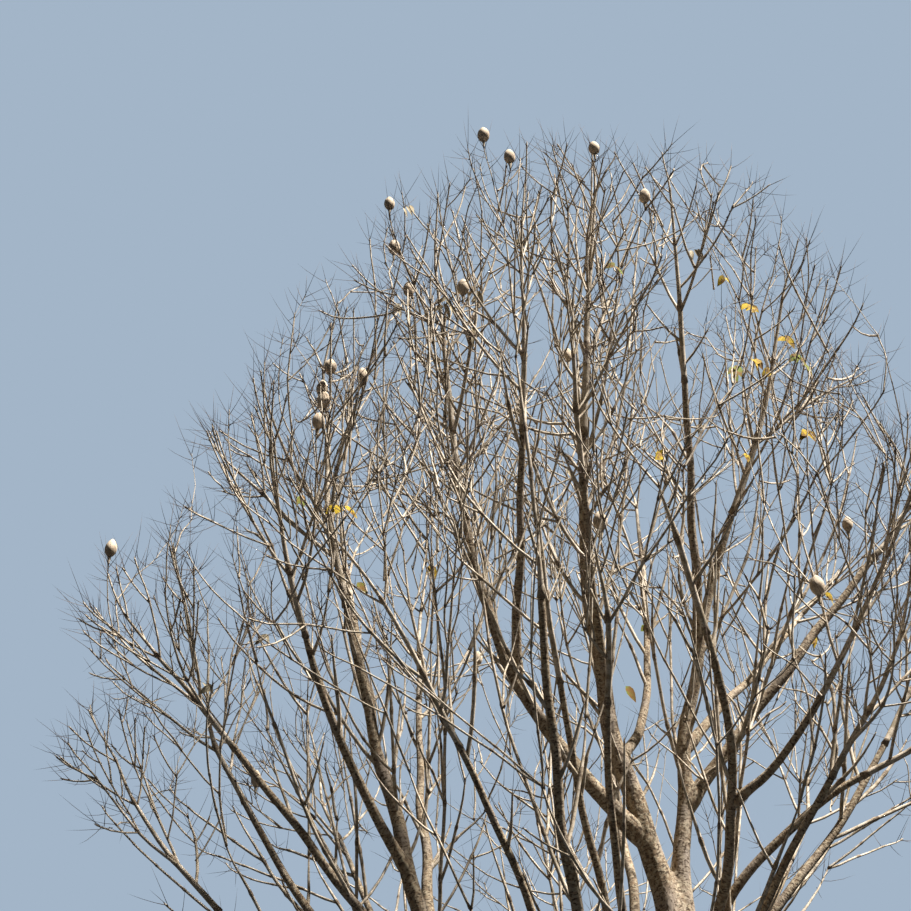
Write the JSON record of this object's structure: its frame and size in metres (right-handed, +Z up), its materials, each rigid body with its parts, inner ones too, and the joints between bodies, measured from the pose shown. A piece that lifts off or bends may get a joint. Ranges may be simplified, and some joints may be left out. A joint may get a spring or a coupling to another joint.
{
  "type": "mahogany tree",
  "caption": "Bare dry-season mahogany tree with a low fork, upswept boughs, ovoid crown of fine twigs and upright woody seed capsules.",
  "frame": {"origin": "centre of the flat cut under the trunk, at ground level", "axes": "+Z up, +X to the right and -Y towards the viewer in the pictured view"},
  "size_m": [7.3462, 6.6193, 11.0085],
  "materials": {
    "bark": "rough fissured bark",
    "shoots": "thin smooth bark with pale spots",
    "leaf_stalks": "dry leaf stalks",
    "capsules": "matte woody husk",
    "leaflets": "thin leaf"
  },
  "bodies": {
    "root": {"back_bough": "bark", "back_bough_twigs": "shoots", "back_centre_bough": "bark", "back_centre_bough_twigs": "shoots", "back_left_bough": "bark", "back_left_bough_twigs": "shoots", "back_left_low": "bark", "back_left_low_twigs": "shoots", "back_low_bough": "bark", "back_low_bough_twigs": "shoots", "back_right_bough": "bark", "back_right_bough_twigs": "shoots", "back_right_low": "bark", "back_right_low_twigs": "shoots", "centre_leader": "bark", "centre_leader_twigs": "shoots", "far_left_bough": "bark", "far_left_bough_twigs": "shoots", "far_right_bough": "bark", "far_right_bough_twigs": "shoots", "front_bough": "bark", "front_bough_twigs": "shoots", "front_centre_bough": "bark", "front_centre_bough_twigs": "shoots", "front_leader": "bark", "front_leader_twigs": "shoots", "front_left_leader": "bark", "front_left_leader_twigs": "shoots", "front_left_slender": "bark", "front_left_slender_twigs": "shoots", "front_left_upper": "bark", "front_left_upper_twigs": "shoots", "front_right_bough": "bark", "front_right_bough_twigs": "shoots", "front_right_fork": "bark", "front_right_fork_twigs": "shoots", "front_right_low": "bark", "front_right_low_twigs": "shoots", "left_back_bough": "bark", "left_back_bough_twigs": "shoots", "left_crest": "bark", "left_crest_twigs": "shoots", "left_front_bough": "bark", "left_front_bough_twigs": "shoots", "left_low_front": "bark", "left_low_front_twigs": "shoots", "left_stem": "bark", "left_stem_twigs": "shoots", "lowest_left_bough": "bark", "lowest_left_bough_twigs": "shoots", "right_bough": "bark", "right_bough_twigs": "shoots", "right_crest": "bark", "right_crest_twigs": "shoots", "right_leader": "bark", "right_leader_twigs": "shoots", "right_low_bough": "bark", "right_low_bough_twigs": "shoots", "trunk": "bark"}
  },
  "joints": []
}
